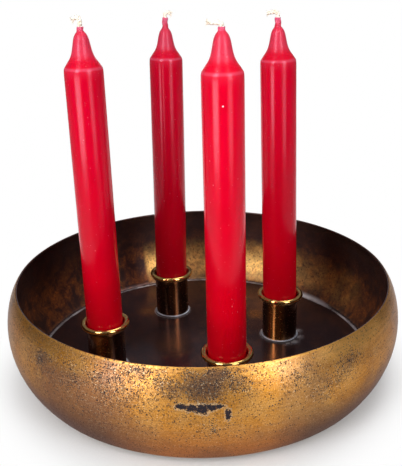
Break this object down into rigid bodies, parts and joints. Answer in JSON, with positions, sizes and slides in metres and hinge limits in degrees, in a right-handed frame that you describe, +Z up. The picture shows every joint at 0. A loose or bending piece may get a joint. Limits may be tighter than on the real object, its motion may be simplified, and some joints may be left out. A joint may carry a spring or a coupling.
{
  "type": "advent candle holder",
  "caption": "Advent candle holder: wide shallow aged-brass bowl with a drawn-in rim, screwed-in candle cups with rolled rims, and red stick candles that lift out.",
  "frame": {"origin": "on the table, under the middle of the bowl", "axes": "+Z up; the candle cups stand on the diagonals between +X and +Y, at 45, 135, 225 and 315 degrees"},
  "size_m": [0.2404, 0.2404, 0.2147],
  "materials": {
    "aged_brass": "spun brass with an aged, speckled patina, satin outside and dark and glossy inside",
    "cup_brass": "dark bronzed brass, glossy, with a polished golden rolled rim",
    "plug_brass": "turned raw brass",
    "ring_metal": "dark bronzed brass, glossy",
    "zinc_steel": "zinc-plated steel",
    "black_felt": "pressed felt",
    "red_wax": "satin dyed candle wax",
    "cotton": "braided cotton"
  },
  "bodies": {
    "holder": {"bowl": "aged_brass", "candle_cup_right": "cup_brass", "candle_cup_rear": "cup_brass", "candle_cup_left": "cup_brass", "candle_cup_front": "cup_brass", "cup_plug_right": "plug_brass", "cup_plug_rear": "plug_brass", "cup_plug_left": "plug_brass", "cup_plug_front": "plug_brass", "cup_foot_ring_right": "ring_metal", "cup_foot_ring_rear": "ring_metal", "cup_foot_ring_left": "ring_metal", "cup_foot_ring_front": "ring_metal", "cup_washer_right": "zinc_steel", "cup_washer_rear": "zinc_steel", "cup_washer_left": "zinc_steel", "cup_washer_front": "zinc_steel", "cup_screw_right": "zinc_steel", "cup_screw_rear": "zinc_steel", "cup_screw_left": "zinc_steel", "cup_screw_front": "zinc_steel", "felt_pad_1": "black_felt", "felt_pad_2": "black_felt", "felt_pad_3": "black_felt", "felt_pad_4": "black_felt"},
    "candle_right": {"candle_right": "red_wax", "wick_right": "cotton"},
    "candle_rear": {"candle_rear": "red_wax", "wick_rear": "cotton"},
    "candle_left": {"candle_left": "red_wax", "wick_left": "cotton"},
    "candle_front": {"candle_front": "red_wax", "wick_front": "cotton"}
  },
  "joints": [
    {"name": "candle_right_lift", "type": "slide", "parent": "holder", "child": "candle_right", "axis": [-0.0254, -0.0094, 0.9996], "range_m": [0, 0.065]},
    {"name": "candle_rear_lift", "type": "slide", "parent": "holder", "child": "candle_rear", "axis": [0.0095, 0.0056, 0.9999], "range_m": [0, 0.065]},
    {"name": "candle_left_lift", "type": "slide", "parent": "holder", "child": "candle_left", "axis": [-0.0048, -0.0036, 1], "range_m": [0, 0.065]},
    {"name": "candle_front_lift", "type": "slide", "parent": "holder", "child": "candle_front", "axis": [-0.0074, -0.0035, 1], "range_m": [0, 0.065]}
  ]
}
